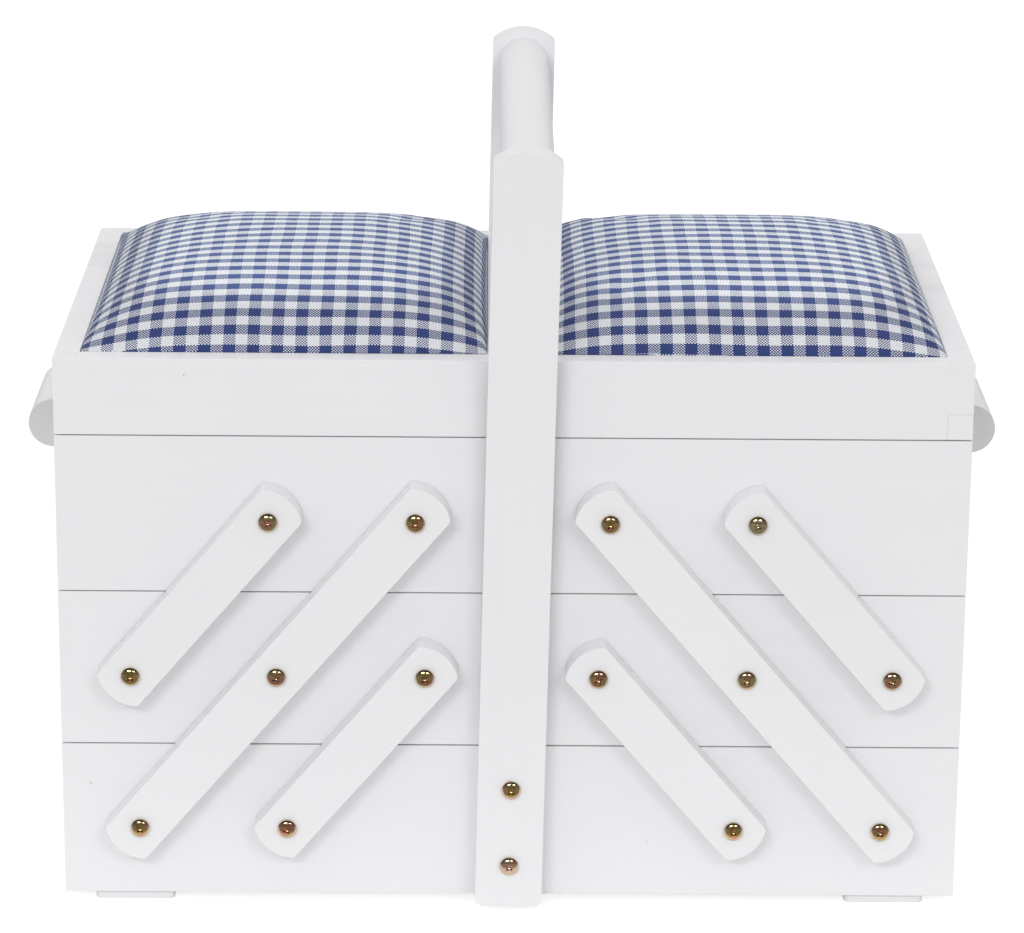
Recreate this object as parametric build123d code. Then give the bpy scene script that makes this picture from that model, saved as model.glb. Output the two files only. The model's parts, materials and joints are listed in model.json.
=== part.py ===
"""Sewing carrier: a base, two pairs of trays that swing out on links, and two padded lids.

Millimetres. The origin is on the floor, midway between the feet: +X to the right, -Y to the
front, +Z up. The right half is built, and the left half is its mirror image.
"""

from build123d import *
import os
from math import atan2, cos, degrees, radians, sin

# ---- the box ----
box_width = 360.0
box_depth = 210.0
board = 10.0
foot_height = 4.0
tier_height = 64.0
lid_height = 31.0
tier_gap = 0.5
centre_gap = 1.0
tray_inset = 0.2
edge_round = 0.25
rim_round = 0.5
tier_fingers = 6
lid_fingers = 3

# ---- bottoms and lid panels, held in grooves ----
groove_depth = 4.0
base_panel = 4.0
tray_panel = 3.0
panel_lift = 3.0
lid_panel = 4.0
lid_recess = 5.0

# ---- feet ----
foot_side = 32.0
foot_centre_x = 152.0
foot_setback = 2.5
foot_round = 2.0

# ---- links and the screws they turn on ----
link_width = 20.7
link_thickness = 10.8
link_end_crown = 3.7
link_overhang = 11.9
long_link_overhang = 13.0
link_corner_round = 2.2
link_edge_round = 0.2
link_gap = 0.2
pivot_rise = 32.6
pivot_step = 55.0
long_pivot_x = 148.2
lower_pivot_x = 89.4
upper_pivot_x = 150.9
head_diameter = 7.6
head_height = 2.4
head_gap = 0.1
shank_diameter = 3.5
tip_length = 2.5
screw_bite = 9.0
running_clearance = 0.08
fixed_clearance = 0.02

# ---- handle ----
upright_width = 26.8
upright_thickness = 10.8
upright_bottom = 3.2
upright_top = 316.1
upright_crown = 5.2
upright_foot_round = 3.0
spread_start = 60.0
spread_at_top = 6.7
handle_lean = 1.0
lean_centre_height = 42.0
handle_screw_heights = (20.8, 53.6)
bar_diameter = 21.7
bar_below_top = 3.3
bar_socket = 3.0

# ---- end grips ----
grip_height = 20.3
grip_reach = 18.7
grip_length = 56.0
grip_below_rim = 18.0
grip_screw_y = 16.0
grip_screw_bite = 8.0

# ---- lid hinges ----
hinge_y = 45.0
hinge_length = 25.0
leaf_height = 10.0
leaf_thickness = 1.0
knuckle_radius = 2.0
knuckle_standoff = 2.2
knuckle_gap = 0.2
knuckle_relief = 2.45
pin_radius = 1.0
hinge_screw_radius = 1.2
hinge_screw_head_radius = 1.9
hinge_screw_length = 7.0
hinge_screw_spacing = 15.0

# ---- cushions ----
cushion_rise = 21.0
cushion_clearance = 0.3
side_swell = (1.5, 14.0)
side_shoulder = 22.0
end_swell = (10.0, 13.0)
end_shoulder = 26.0

# ---- worked out from the above ----
half_width = box_width / 2
half_depth = box_depth / 2
tray_half_depth = half_depth - tray_inset
inner_x = centre_gap / 2
pitch = tier_height + tier_gap
base_z = foot_height
middle_z = base_z + pitch
upper_z = middle_z + pitch
lid_z = upper_z + pitch
lid_top = lid_z + lid_height
link_back_y = half_depth + link_gap
link_front_y = link_back_y + link_thickness
link_span = (pivot_step**2 + pitch**2) ** 0.5
swing_end = 180 - 2 * degrees(atan2(pitch, pivot_step))
hinge_axis_x = half_width + knuckle_standoff
hinge_axis_z = lid_z - tier_gap / 2
bar_z = upright_top - bar_below_top - bar_diameter / 2
spread_rise = upright_top - spread_start
spread_radius = (spread_rise**2 + spread_at_top**2) / (2 * spread_at_top)
FRONT = -1
BACK = 1
FACES = {"front": FRONT, "back": BACK}

parts = {}


def box_between(low, high):
    """A box between two opposite corners."""
    size = [b - a for a, b in zip(low, high)]
    centre = [(a + b) / 2 for a, b in zip(low, high)]
    return Pos(*centre) * Box(*size)


def on_face(x, y, z, face):
    """A place on the front or back of the box, with local +Z pointing out of it."""
    return Pos(x, face * y, z) * Rot(-90 * face, 0, 0)


def hole_at(x, z, radius):
    """A bore along Y through both the front and the back board."""
    return Pos(x, 0, z) * Rot(90, 0, 0) * Cylinder(radius, 2 * box_depth)


# ---- boards ----
def frame_ring(x_low, x_high, depth_half, z_low, height):
    """The four walls of a tier in one piece, with softened edges."""
    outer = box_between((x_low, -depth_half, z_low), (x_high, depth_half, z_low + height))
    outer = fillet(outer.edges(), edge_round)
    cavity = box_between(
        (x_low + board, -depth_half + board, z_low - 1),
        (x_high - board, depth_half - board, z_low + height + 1),
    )
    ring = outer - cavity
    wall_reach = depth_half - board + 0.01

    def is_rim(edge):
        middle = edge.center()
        flat = abs(middle.Z - z_low) < 0.01 or abs(middle.Z - z_low - height) < 0.01
        in_x = x_low + board - 0.01 < middle.X < x_high - board + 0.01
        return flat and in_x and abs(middle.Y) < wall_reach

    return fillet(ring.edges().filter_by(is_rim), rim_round)


def end_region(x_low, x_high, depth_half, z_low, height, fingers):
    """The space of the two end boards: their span, and every other finger from the top."""
    finger = height / fingers
    inner = depth_half - board
    region = Part()
    for x in (x_low, x_high - board):
        region += box_between((x, -inner, z_low), (x + board, inner, z_low + height))
        for index in range(0, fingers, 2):
            z = z_low + height - (index + 1) * finger
            region += box_between((x, -depth_half, z), (x + board, -inner, z + finger))
            region += box_between((x, inner, z), (x + board, depth_half, z + finger))
    return region


def add_tier(name, x_low, x_high, depth_half, z_low, height, fingers, panel_z, panel_thickness):
    """Front board, back board, end boards and the panel that sits in their groove."""
    ring = frame_ring(x_low, x_high, depth_half, z_low, height)
    reach = board - groove_depth
    panel = box_between(
        (x_low + reach, -depth_half + reach, panel_z),
        (x_high - reach, depth_half - reach, panel_z + panel_thickness),
    )
    ring -= panel
    ends = end_region(x_low, x_high, depth_half, z_low, height, fingers)
    boards = (ring - ends).solids().sort_by(Axis.Y)
    parts[f"{name}_front_board"] = boards[0]
    parts[f"{name}_back_board"] = boards[-1]
    parts[f"{name}_end_boards"] = ring & ends
    parts[f"{name}_{'panel' if height == lid_height else 'bottom_panel'}"] = panel


# ---- screws ----
def pan_screw(length):
    """A pan-head screw with a cross recess; its head's underside is at Z 0 and it points to -Z."""
    radius = head_diameter / 2
    head = Pos(0, 0, head_height / 2) * Cylinder(radius, head_height)
    crown = head.edges().sort_by(Axis.Z)[-1]
    head = fillet(crown, head_height * 0.8)
    slot_length = head_diameter * 0.6
    slot_width = head_diameter * 0.13
    recess_depth = head_height * 0.6
    for turn in (0, 90):
        slot = Rot(0, 0, turn + 45) * Box(slot_length, slot_width, recess_depth)
        head -= Pos(0, 0, head_height - recess_depth / 2) * slot
    straight = length - tip_length
    shank = Pos(0, 0, -straight / 2) * Cylinder(shank_diameter / 2, straight)
    tip = Pos(0, 0, -straight - tip_length / 2) * Cone(0.2, shank_diameter / 2, tip_length)
    return head + shank + tip


def screw_row(places, seat_y, length):
    """Pan-head screws at (x, z) places, on the front and on the back."""
    screw = pan_screw(length)
    row = [on_face(x, seat_y, z, face) * screw for face in FACES.values() for x, z in places]
    return Compound(children=row)


def bore_boards(name, places):
    """Bores a tier's front and back boards for their screws, and leaves the inside whole."""
    bore = Cylinder(shank_diameter / 2 + fixed_clearance, box_depth)
    bore = Pos(0, 0, box_depth / 2) * bore
    deepest = tray_half_depth - screw_bite - fixed_clearance
    for side, face in FACES.items():
        board_name = f"{name}_{side}_board"
        for x, z in places:
            parts[board_name] -= on_face(x, deepest, z, face) * bore


# ---- links ----
def link_body(pivot_count, overhang):
    """A flat link along local +X from its first pivot, with its back face at local Z 0."""
    half = link_width / 2
    span = link_span * (pivot_count - 1)
    shoulder = overhang - link_end_crown
    left, right = -shoulder, span + shoulder
    outline = [
        Line((left, half), (right, half)),
        ThreePointArc((right, half), (span + overhang, 0), (right, -half)),
        Line((right, -half), (left, -half)),
        ThreePointArc((left, -half), (-overhang, 0), (left, half)),
    ]
    face = make_face(outline)
    face = fillet(face.vertices(), link_corner_round)
    body = extrude(face, link_thickness)
    flats = body.edges().group_by(Axis.Z)
    body = fillet(flats[0] + flats[-1], link_edge_round)
    for index in range(pivot_count):
        bore = Cylinder(shank_diameter / 2 + running_clearance, 3 * link_thickness)
        body -= Pos(link_span * index, 0, 0) * bore
    return body


def place_link(body, x, z, face):
    """Lays a link against the front or back, from a pivot up and towards the handle."""
    seat = Plane(
        origin=(x, face * link_back_y, z), x_dir=(-pivot_step, 0, pitch), z_dir=(0, face, 0)
    )
    return seat * body


def add_links():
    """The right half's six links."""
    long_body = link_body(3, long_link_overhang)
    short_body = link_body(2, link_overhang)
    base_pivot_z = base_z + pivot_rise
    middle_pivot_z = middle_z + pivot_rise
    for side, face in FACES.items():
        parts[f"right_long_link_{side}"] = place_link(long_body, long_pivot_x, base_pivot_z, face)
        parts[f"right_lower_link_{side}"] = place_link(short_body, lower_pivot_x, base_pivot_z, face)
        parts[f"right_upper_link_{side}"] = place_link(
            short_body, upper_pivot_x, middle_pivot_z, face
        )


# ---- handle ----
def spread(height, depth):
    """How far out from the box an upright's face is, for a face at a depth in the upright."""
    radius = spread_radius - depth
    above = max(height - spread_start, 0)
    return spread_radius - (radius**2 - above**2) ** 0.5


def upright_side():
    """An upright from the side: flat on the base, then sprung gently outwards by the bar."""
    low, start, high = upright_bottom - 1, spread_start, upright_top + 1
    middle = (start + high) / 2
    inner = [(height, spread(height, 0)) for height in (start, middle, high)]
    outer = [(height, spread(height, upright_thickness)) for height in (high, middle, start)]
    outline = [
        Line((low, 0), inner[0]),
        ThreePointArc(*inner),
        Line(inner[-1], outer[0]),
        ThreePointArc(*outer),
        Line(outer[-1], (low, upright_thickness)),
        Line((low, upright_thickness), (low, 0)),
    ]
    return extrude(Plane.YZ * make_face(outline), upright_width, both=True)


def upright():
    """One upright, standing at the origin's X, with its foot's inner face at local Y 0."""
    half = upright_width / 2
    shoulder = upright_top - upright_crown
    outline = [
        Line((-half, upright_bottom), (half, upright_bottom)),
        Line((half, upright_bottom), (half, shoulder)),
        ThreePointArc((half, shoulder), (0, upright_top), (-half, shoulder)),
        Line((-half, shoulder), (-half, upright_bottom)),
    ]
    face = make_face(outline)
    face = fillet(face.vertices().group_by(Axis.Y)[0], upright_foot_round)
    face = fillet(face.vertices().group_by(Axis.Y)[-1], edge_round)
    body = extrude(face, 3 * upright_thickness) & upright_side()

    def is_outer(edge):
        middle = edge.center()
        return middle.Z > spread(middle.Y, upright_thickness) - 0.1

    body = fillet(body.edges().filter_by(is_outer), edge_round)
    return Rot(90, 0, 0) * body


def lean(shape):
    """Tilts the handle sideways about a point low on the base."""
    tilt = Rot(0, handle_lean, 0)
    return Pos(0, 0, lean_centre_height) * tilt * Pos(0, 0, -lean_centre_height) * shape


def leaning_place(height):
    """The X and Z of a point on the leaning centre line."""
    arm = height - lean_centre_height
    angle = radians(handle_lean)
    return arm * sin(angle), lean_centre_height + arm * cos(angle)


def add_handle():
    """Two uprights, the bar let into them and the screws that hold them to the base."""
    reach = spread(bar_z, 0)
    socket = Rot(90, 0, 0) * Cylinder(bar_diameter / 2 + fixed_clearance, 2 * bar_socket)
    front = upright() - Pos(0, -reach, bar_z) * socket
    for name, turn in (("front", 0), ("back", 180)):
        body = Rot(0, 0, turn) * Pos(0, -half_depth, 0) * front
        parts[f"handle_{name}_upright"] = lean(body)
    bar_length = 2 * (half_depth + reach + bar_socket - fixed_clearance)
    bar = Rot(90, 0, 0) * Cylinder(bar_diameter / 2, bar_length)
    parts["handle_bar"] = lean(Pos(0, 0, bar_z) * bar)
    places = [leaning_place(height) for height in handle_screw_heights]
    seat_y = half_depth + upright_thickness
    parts["handle_screws"] = screw_row(places, seat_y, upright_thickness + screw_bite)
    bore_boards("base", places)
    for name in FACES:
        for x, z in places:
            bore = hole_at(x, z, shank_diameter / 2 + fixed_clearance)
            parts[f"handle_{name}_upright"] -= bore


# ---- feet ----
def add_feet():
    """Four square pads under the corners of the base."""
    pad = Box(foot_side, foot_side, foot_height)
    pad = fillet(pad.edges().filter_by(Axis.Z), foot_round)
    pad = chamfer(pad.edges().group_by(Axis.Z)[0], edge_round)
    y = half_depth - foot_setback - foot_side / 2
    feet = [
        Pos(side_x * foot_centre_x, side_y * y, foot_height / 2) * pad
        for side_x in (-1, 1)
        for side_y in (-1, 1)
    ]
    parts["base_feet"] = Compound(children=feet)


# ---- end grips ----
def add_grip():
    """The half-round grip on the outer end of the right upper tray, and its two screws."""
    radius = grip_height / 2
    z = upper_z + tier_height - grip_below_rim
    block = box_between(
        (half_width, -grip_length / 2, z - radius),
        (half_width + grip_reach - radius, grip_length / 2, z + radius),
    )
    nose = Rot(90, 0, 0) * Cylinder(radius, grip_length)
    nose = Pos(half_width + grip_reach - radius, 0, z) * nose
    wall_side = Pos(half_width - radius, 0, z) * Box(2 * radius, 2 * grip_length, 2 * grip_height)
    grip = block + nose - wall_side
    ends = grip.faces().filter_by(Axis.Y).edges()
    rounded = ends.filter_by(lambda edge: edge.center().X > half_width + 0.01)
    grip = fillet(rounded, edge_round)
    inside = half_width - board
    screw = pan_screw(board + grip_screw_bite)
    screws = []
    for y in (-grip_screw_y, grip_screw_y):
        seat = Pos(inside, y, z) * Rot(0, -90, 0)
        screws.append(seat * screw)
        bore = Pos(half_width, y, z) * Rot(0, 90, 0)
        bore *= Cylinder(shank_diameter / 2 + fixed_clearance, 2 * board)
        grip -= bore
        parts["right_upper_end_boards"] -= bore
    parts["right_grip"] = grip
    parts["right_grip_screws"] = Compound(children=screws)


# ---- lid hinges ----
def leaf_shape(direction, knuckles):
    """A leaf on the end face: up (+1) on the lid or down (-1) on the tray; Z 0 is the axis."""
    near, far = sorted((direction * knuckle_relief, direction * leaf_height))
    wall = half_width
    half = hinge_length / 2
    leaf = box_between((wall, -half, near), (wall + leaf_thickness, half, far))
    for low, high in knuckles:
        tab_low, tab_high = sorted((0, direction * knuckle_relief))
        barrel = Rot(90, 0, 0) * Cylinder(knuckle_radius, high - low)
        leaf += box_between((wall, low, tab_low), (wall + leaf_thickness, high, tab_high))
        leaf += Pos(hinge_axis_x, (low + high) / 2, 0) * barrel
    return leaf


def hinge_screw_places(direction):
    """The Y and Z of a leaf's two screws."""
    z = direction * (leaf_height + knuckle_relief) / 2
    return [(y, z) for y in (-hinge_screw_spacing / 2, hinge_screw_spacing / 2)]


def hinge_screw():
    """A countersunk screw along -X, flush with a leaf's outer face at X 0."""
    head = Cone(hinge_screw_radius, hinge_screw_head_radius, leaf_thickness * 0.8)
    head = Pos(0, 0, -leaf_thickness * 0.4) * head
    shank = Pos(0, 0, -hinge_screw_length / 2) * Cylinder(hinge_screw_radius, hinge_screw_length)
    return Rot(0, 90, 0) * (head + shank)


def add_hinges():
    """Two butt hinges between the right upper tray and its lid, knuckles outside."""
    third = hinge_length / 3
    outer = [(-3 * third / 2, -third / 2), (third / 2, 3 * third / 2)]
    inner = [(-third / 2 + knuckle_gap, third / 2 - knuckle_gap)]
    pin = Rot(90, 0, 0) * Cylinder(pin_radius, hinge_length)
    pin = Pos(hinge_axis_x, 0, 0) * pin
    bore_radius = pin_radius + running_clearance
    pin_bore = Pos(hinge_axis_x, 0, 0) * Rot(90, 0, 0) * Cylinder(bore_radius, 2 * hinge_length)
    screw = hinge_screw()
    screw_bore = Cylinder(hinge_screw_radius + fixed_clearance, 2 * hinge_screw_length)
    screw_bore = Rot(0, 90, 0) * screw_bore
    sink = Rot(0, 90, 0) * Cone(
        hinge_screw_radius + fixed_clearance, hinge_screw_head_radius + fixed_clearance,
        leaf_thickness * 0.8,
    )
    sink = Pos(-leaf_thickness * 0.4, 0, 0) * sink
    outer_face = half_width + leaf_thickness
    jobs = (
        ("right_tray_hinges", "right_upper_end_boards", -1, outer, [pin]),
        ("right_lid_hinges", "right_lid_end_boards", 1, inner, []),
    )
    for name, boards, direction, knuckles, extras in jobs:
        leaf = leaf_shape(direction, knuckles) - pin_bore
        screws = []
        for y, z in hinge_screw_places(direction):
            seat = Pos(outer_face, y, z)
            leaf -= seat * screw_bore
            leaf -= seat * sink
            screws.append(seat * screw)
        solids = []
        for y in (-hinge_y, hinge_y):
            place = Pos(0, y, hinge_axis_z)
            solids += [place * piece for piece in [leaf, *screws, *extras]]
            for screw_y, z in hinge_screw_places(direction):
                bore_seat = Pos(half_width, y + screw_y, hinge_axis_z + z)
                parts[boards] -= bore_seat * screw_bore
        parts[name] = Compound(children=solids)


# ---- cushions ----
def dome_profile(half, swell, shoulder):
    """A crowned section, half wide each way, that sits in the lid's recess."""
    low = -lid_recess
    inward, upward = swell
    rise = cushion_rise
    outline = [
        Bezier((-half, 0), (inward - half, upward), (shoulder - half, rise), (0, rise)),
        Bezier((0, rise), (half - shoulder, rise), (half - inward, upward), (half, 0)),
        Polyline((half, 0), (half, low), (-half, low), (-half, 0)),
    ]
    return make_face(outline)


def add_cushion():
    """The right lid's cushion: a dome section each way, and what the two have in common."""
    x_low = inner_x + board + cushion_clearance
    x_high = half_width - board - cushion_clearance
    half_x = (x_high - x_low) / 2
    half_y = tray_half_depth - board - cushion_clearance
    across_face = dome_profile(half_x, side_swell, side_shoulder)
    along_face = dome_profile(half_y, end_swell, end_shoulder)
    across = Plane.XZ * extrude(across_face, half_y, both=True)
    along = Plane.YZ * extrude(along_face, half_x, both=True)
    parts["right_lid_cushion"] = Pos((x_low + x_high) / 2, 0, lid_top) * (across & along)


# ---- assembly ----
def pivots(first_xs, steps, z):
    """The X and Z of a tier's link pivots, from base places stepped towards the handle."""
    return [(x - pivot_step * step, z) for x, step in zip(first_xs, steps)]


def add_tiers():
    """Base, and the right half's middle tray, upper tray and lid."""
    add_tier(
        "base", -half_width, half_width, half_depth, base_z, tier_height,
        tier_fingers, base_z + panel_lift, base_panel,
    )
    for name, z in (("right_middle", middle_z), ("right_upper", upper_z)):
        add_tier(
            name, inner_x, half_width, tray_half_depth, z, tier_height,
            tier_fingers, z + panel_lift, tray_panel,
        )
    add_tier(
        "right_lid", inner_x, half_width, tray_half_depth, lid_z, lid_height,
        lid_fingers, lid_top - lid_recess - lid_panel, lid_panel,
    )


def add_pivot_screws():
    """The screws that the links turn on, each driven into the tier behind it."""
    seat_y = link_front_y + head_gap
    reach = seat_y - tray_half_depth + screw_bite
    base_half = pivots((long_pivot_x, lower_pivot_x), (0, 0), base_z + pivot_rise)
    base_places = base_half + [(-x, z) for x, z in base_half]
    middle_places = pivots(
        (long_pivot_x, lower_pivot_x, upper_pivot_x), (1, 1, 0), middle_z + pivot_rise
    )
    upper_places = pivots((long_pivot_x, upper_pivot_x), (2, 1), upper_z + pivot_rise)
    jobs = (("base", base_places), ("right_middle", middle_places), ("right_upper", upper_places))
    for name, places in jobs:
        bore_boards(name, places)
        parts[f"{name}_pivot_screws"] = screw_row(places, seat_y, reach)


def add_left_half():
    """Mirrors every right-hand piece."""
    for name in [name for name in parts if name.startswith("right_")]:
        parts[name.replace("right_", "left_")] = mirror(parts[name], about=Plane.YZ)


add_tiers()
add_feet()
add_handle()
add_pivot_screws()
add_links()
add_grip()
add_hinges()
add_cushion()
add_left_half()

os.makedirs("parts", exist_ok=True)
for node_name, shape in parts.items():
    export_step(shape, f"parts/{node_name}.step")
print(len(parts), "nodes; the links swing", round(swing_end, 3), "degrees")
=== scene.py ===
# %% [markdown]
# # A painted sewing carrier with two padded lids
#
# The real thing is a beech or pine box, painted satin white, whose trays swing out to both sides
# on flat wooden links. The boards, links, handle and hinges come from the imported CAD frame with
# their true shapes. This lesson gives them their finishes, and makes by hand what the frame only
# roughs in: the two checked cushions and the plated screws.

import json
import math
import random

import bmesh
import bpy
import numpy as np
from mathutils import Matrix, Vector

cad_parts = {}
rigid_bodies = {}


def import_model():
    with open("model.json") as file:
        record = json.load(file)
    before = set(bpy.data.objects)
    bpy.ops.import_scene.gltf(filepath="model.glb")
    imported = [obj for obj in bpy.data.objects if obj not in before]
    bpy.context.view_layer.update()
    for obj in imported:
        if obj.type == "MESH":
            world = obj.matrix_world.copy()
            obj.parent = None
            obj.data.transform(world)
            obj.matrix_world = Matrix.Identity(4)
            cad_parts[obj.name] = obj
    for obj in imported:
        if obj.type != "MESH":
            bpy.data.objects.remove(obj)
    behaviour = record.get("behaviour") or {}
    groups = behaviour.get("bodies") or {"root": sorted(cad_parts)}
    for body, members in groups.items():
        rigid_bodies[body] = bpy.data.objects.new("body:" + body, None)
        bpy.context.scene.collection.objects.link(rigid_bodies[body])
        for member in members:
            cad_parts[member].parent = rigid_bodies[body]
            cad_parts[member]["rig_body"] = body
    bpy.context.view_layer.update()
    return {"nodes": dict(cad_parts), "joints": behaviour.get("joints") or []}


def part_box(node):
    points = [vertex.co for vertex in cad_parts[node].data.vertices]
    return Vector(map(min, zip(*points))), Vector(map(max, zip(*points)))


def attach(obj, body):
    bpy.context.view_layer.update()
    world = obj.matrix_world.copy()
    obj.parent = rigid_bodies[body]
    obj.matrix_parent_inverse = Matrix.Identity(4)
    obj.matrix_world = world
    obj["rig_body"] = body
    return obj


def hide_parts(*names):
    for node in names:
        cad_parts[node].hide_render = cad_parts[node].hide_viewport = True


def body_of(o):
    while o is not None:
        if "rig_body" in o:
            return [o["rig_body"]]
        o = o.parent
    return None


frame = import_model()
nodes = frame["nodes"]
MM = 0.001

# %% [markdown]
# ## The camera
#
# The camera stands well back with a long lens, so that upright edges stay nearly upright, and looks
# a little down on the lids. A tracking constraint could aim it at the box, but plain angles for its
# turn and a plain place keep the framing exact.

# %% Camera
camera_place = Vector((-11.0, -1623.26, 660.03)) * MM
camera_lens = 142.48
look_down = 0.30287
look_right = 0.00692
camera_roll = 0.00864

camera_data = bpy.data.cameras.new("camera")
camera_data.lens = camera_lens
camera_data.sensor_width = 36
camera_data.clip_end = 100
camera = bpy.data.objects.new("camera", camera_data)
bpy.context.scene.collection.objects.link(camera)
camera.matrix_world = (
    Matrix.Translation(camera_place)
    @ Matrix.Rotation(-look_right, 4, "Z")
    @ Matrix.Rotation(math.pi / 2 - look_down, 4, "X")
    @ Matrix.Rotation(camera_roll, 4, "Z")
)
bpy.context.scene.camera = camera
print("camera at", [round(v, 3) for v in camera.location], "with a lens of", camera_lens, "mm")

# %% [markdown]
# ## Sums on shader sockets
#
# A material is a small network of nodes. Written out one node and one link at a time it is hard to
# read, so a `Wire` stands for one output socket and understands Python's sums. `paint.node(...)`
# places any other node: its settings first, then what goes into its sockets.


# %% Place a node
def place_node(tree, kind, settings=None, sockets=None, output=0):
    """Adds a node, sets it up, feeds its sockets with values or wires, and returns one output."""
    node = tree.nodes.new(kind)
    if isinstance(output, str):
        output = node.outputs.find(output)
    for key, value in (settings or {}).items():
        if key == "stops":
            ramp = node.color_ramp
            while len(ramp.elements) < len(value):
                ramp.elements.new(0.5)
            for element, (position, colour) in zip(ramp.elements, value):
                element.position = position
                element.color = (*colour, 1)
        else:
            setattr(node, key, value)
    for key, value in (sockets or {}).items():
        if isinstance(value, Wire):
            tree.links.new(value.socket, node.inputs[key])
        else:
            node.inputs[key].default_value = value
    return Wire(node.outputs[output])


# %% Wire
class Wire:
    """One output socket. Sums on it add Math nodes beside it."""

    def __init__(self, socket):
        self.socket = socket

    def math(self, operation, *values):
        sockets = dict(enumerate(values))
        return place_node(self.socket.id_data, "ShaderNodeMath", {"operation": operation}, sockets)

    def __add__(self, other):
        return self.math("ADD", self, other)

    __radd__ = __add__

    def __sub__(self, other):
        return self.math("SUBTRACT", self, other)

    def __rsub__(self, other):
        return self.math("SUBTRACT", other, self)

    def __mul__(self, other):
        return self.math("MULTIPLY", self, other)

    __rmul__ = __mul__

    def __truediv__(self, other):
        return self.math("DIVIDE", self, other)

    def __abs__(self):
        return self.math("ABSOLUTE", self)

    def over(self, limit):
        """1 where the value is above the limit, else 0."""
        return self.math("GREATER_THAN", self, limit)

    def floor(self):
        return self.math("FLOOR", self)

    def fraction(self):
        return self.math("FRACT", self)

    def larger(self, other):
        return self.math("MAXIMUM", self, other)

    def rise(self, low, high):
        """A smooth step from 0 at low to 1 at high; low may be the larger of the two."""
        settings = {"interpolation_type": "SMOOTHSTEP"}
        sockets = {"Value": self, "From Min": low, "From Max": high}
        return place_node(self.socket.id_data, "ShaderNodeMapRange", settings, sockets)

    def parts(self):
        """The X, Y and Z of a vector."""
        tree = self.socket.id_data
        split = tree.nodes.new("ShaderNodeSeparateXYZ")
        tree.links.new(self.socket, split.inputs[0])
        return [Wire(output) for output in split.outputs]


# %% Paint
class Paint:
    """A material with a Principled shader, and the nodes that vary its finish."""

    def __init__(self, name, **uniform):
        self.material = bpy.data.materials.new(name)
        self.material.use_nodes = True
        self.tree = self.material.node_tree
        self.shader = self.tree.nodes["Principled BSDF"]
        for key, value in uniform.items():
            self.shader.inputs[key.replace("_", " ")].default_value = value

    def node(self, kind, settings=None, sockets=None, output=0):
        return place_node(self.tree, kind, settings, sockets, output)

    def place(self, turn=(0, 0, 0), stretch=(1, 1, 1)):
        """Object coordinates, turned so that X runs along the grain, then divided by stretch."""
        place = self.node("ShaderNodeTexCoord", output="Object")
        sockets = {"Vector": place, "Rotation": turn, "Scale": stretch}
        return self.node("ShaderNodeMapping", {"vector_type": "TEXTURE"}, sockets)

    def noise(self, vector, size, detail=2.0, roughness=0.5):
        """Smooth noise, about 0 to 1, with blobs of about the given size in metres."""
        sockets = {"Vector": vector, "Scale": 1 / size, "Detail": detail, "Roughness": roughness}
        return self.node("ShaderNodeTexNoise", sockets=sockets)

    def blend(self, factor, low, high):
        """A colour between low at factor 0 and high at factor 1."""
        low, high = [c if isinstance(c, Wire) else (*c, 1) for c in (low, high)]
        return self.node("ShaderNodeMix", {"data_type": "RGBA"}, {0: factor, 6: low, 7: high}, 2)

    def feed(self, socket, wire):
        self.tree.links.new(wire.socket, self.shader.inputs[socket])

    def bump(self, height, depth, strength=1.0):
        """Feeds the normal from a height of 0 to 1 that stands for the given depth in metres."""
        sockets = {"Height": height, "Distance": depth, "Strength": strength}
        self.feed("Normal", self.node("ShaderNodeBump", sockets=sockets))


print("shader helpers ready")

# %% [markdown]
# ## The floor and the light
#
# The studio has a white table and pale walls. The floor is a real surface, so that the object keeps
# its soft shadow, and a glow that only the camera and the reflections see brings it up to paper
# white. The white paper ends in front of the box. What lies beyond is greyer and sends less light
# up. The polished screws already see it darken close to the box, which gives them their dark tones.
# Two soft boxes hang in front, a wide one a little to the left and a narrower one to the right, and
# draw the links' shadows; the room fills those shadows from above.

# %% Floor
floor_size = 60.0
floor_bounce = 0.76
floor_share = 0.45
floor_glow = 0.8
near_bounce = 0.90
beyond_bounce = 0.52
paper_edge = -0.255
mirrored_edge = -0.135
mirrored_side = 0.30
paper_fade = 0.04

bpy.ops.object.select_all(action="DESELECT")
bpy.ops.mesh.primitive_plane_add(size=floor_size, location=(0, 0, 0))
floor = bpy.context.object
floor.name = "floor"
print("floor", floor_size, "m wide")


# %% Small shaders
def fresh_material(name):
    """A material with an empty network."""
    material = bpy.data.materials.new(name)
    material.use_nodes = True
    material.node_tree.nodes.clear()
    return material


def ray(tree, kind):
    """1 for one kind of ray, such as the camera's, else 0."""
    return place_node(tree, "ShaderNodeLightPath", output=f"Is {kind} Ray")


def seen_ray(tree):
    """1 for the rays of the camera, of reflections and of glass, else 0."""
    return ray(tree, "Camera").larger(ray(tree, "Glossy")).larger(ray(tree, "Transmission"))


def finish_material(material, surface):
    output = material.node_tree.nodes.new("ShaderNodeOutputMaterial")
    material.node_tree.links.new(surface.socket, output.inputs["Surface"])


def matt(tree, level):
    return place_node(tree, "ShaderNodeBsdfDiffuse", sockets={"Color": (level, level, level, 1)})


def glow(tree, strength):
    sockets = {"Color": (1, 1, 1, 1), "Strength": strength}
    return place_node(tree, "ShaderNodeEmission", sockets=sockets)


def either(tree, factor, first, second):
    return place_node(tree, "ShaderNodeMixShader", sockets={0: factor, 1: first, 2: second})


print("matt and glowing surfaces ready")

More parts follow.
